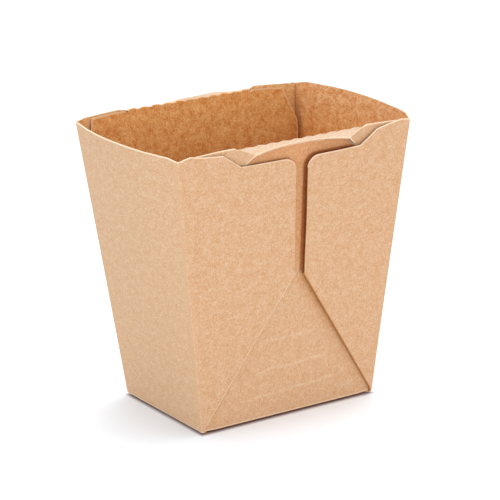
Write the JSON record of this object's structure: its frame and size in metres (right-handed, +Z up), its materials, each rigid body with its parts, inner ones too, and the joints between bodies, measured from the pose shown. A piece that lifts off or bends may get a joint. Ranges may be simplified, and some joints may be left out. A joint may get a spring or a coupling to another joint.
{
  "type": "noodle takeaway box",
  "caption": "Empty tapered takeaway box folded from plain kraft board, with corner webs folded outside and both hinged lids folded down inside.",
  "frame": {"origin": "centre of the base on the surface that the box stands on", "axes": "+Z up, +X along the long walls, +Y from the front long wall to the back one"},
  "size_m": [0.1016, 0.0722, 0.1014],
  "materials": {
    "kraft_outside": "unprinted brown kraft board with fine fibres, matte",
    "kraft_lid": "inner face of the same kraft board, matte"
  },
  "bodies": {
    "carton": {"carton": "kraft_outside"},
    "front_lid": {"front_lid": "kraft_lid"},
    "back_lid": {"back_lid": "kraft_lid"}
  },
  "joints": [
    {"name": "front_crease", "type": "hinge", "parent": "carton", "child": "front_lid", "pos_m": [0, -0.03277, 0.10026], "axis": [1, 0, 0], "range_deg": [0, 178]},
    {"name": "back_crease", "type": "hinge", "parent": "carton", "child": "back_lid", "pos_m": [0, 0.03277, 0.10026], "axis": [-1, 0, 0], "range_deg": [0, 178]}
  ]
}
